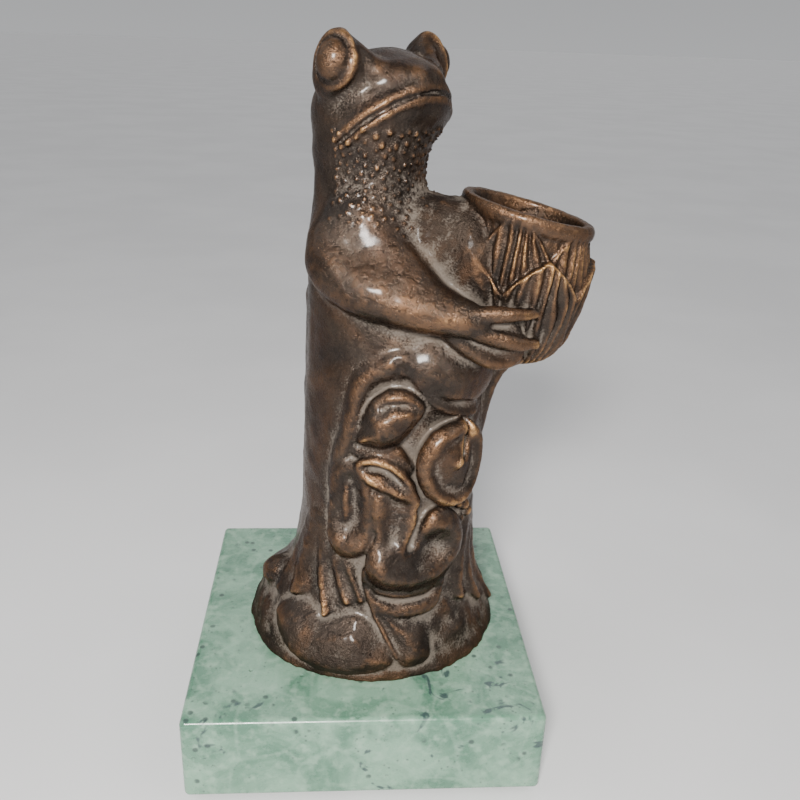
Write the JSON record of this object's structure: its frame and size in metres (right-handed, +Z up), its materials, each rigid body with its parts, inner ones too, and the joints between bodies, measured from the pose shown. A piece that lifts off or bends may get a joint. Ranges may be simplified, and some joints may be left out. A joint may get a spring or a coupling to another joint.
{
  "type": "frog figurine candle holder",
  "caption": "Patinated bronze frog that stands upright among lily pads and holds up an open lotus cup, on a square green marble plinth with a felt underside.",
  "frame": {"origin": "centre of the underside of the felt, on the surface that the part stands on", "axes": "+Z up; X and Y along the plinth's sides; the display side is -Y, and the cup is held out towards +X"},
  "size_m": [0.0823, 0.076, 0.1505],
  "materials": {
    "bronze": "dark brown patina, worn golden on raised edges",
    "raw_bronze": "as cast",
    "marble": "polished, mottled mid green with dark flecks",
    "felt": "dark green felt",
    "zinc_steel": "zinc plated"
  },
  "bodies": {
    "root": {"felt_pad": "felt", "marble_plinth": "marble", "flat_washer": "zinc_steel", "spring_washer": "zinc_steel", "mounting_screw": "zinc_steel", "mounting_bar": "raw_bronze", "lotus_cup": "bronze", "body_casting": "bronze", "ground_casting": "bronze", "right_foot": "bronze", "left_foot": "bronze", "lotus_stalk": "bronze", "lily_pad_folded": "bronze", "lily_pad_notched": "bronze", "lily_pad_slim": "bronze", "lily_pad_hollow": "bronze", "lily_pad_open": "bronze", "lily_pad_low": "bronze", "ground_pad_front": "bronze", "ground_pad_side": "bronze"}
  },
  "joints": []
}
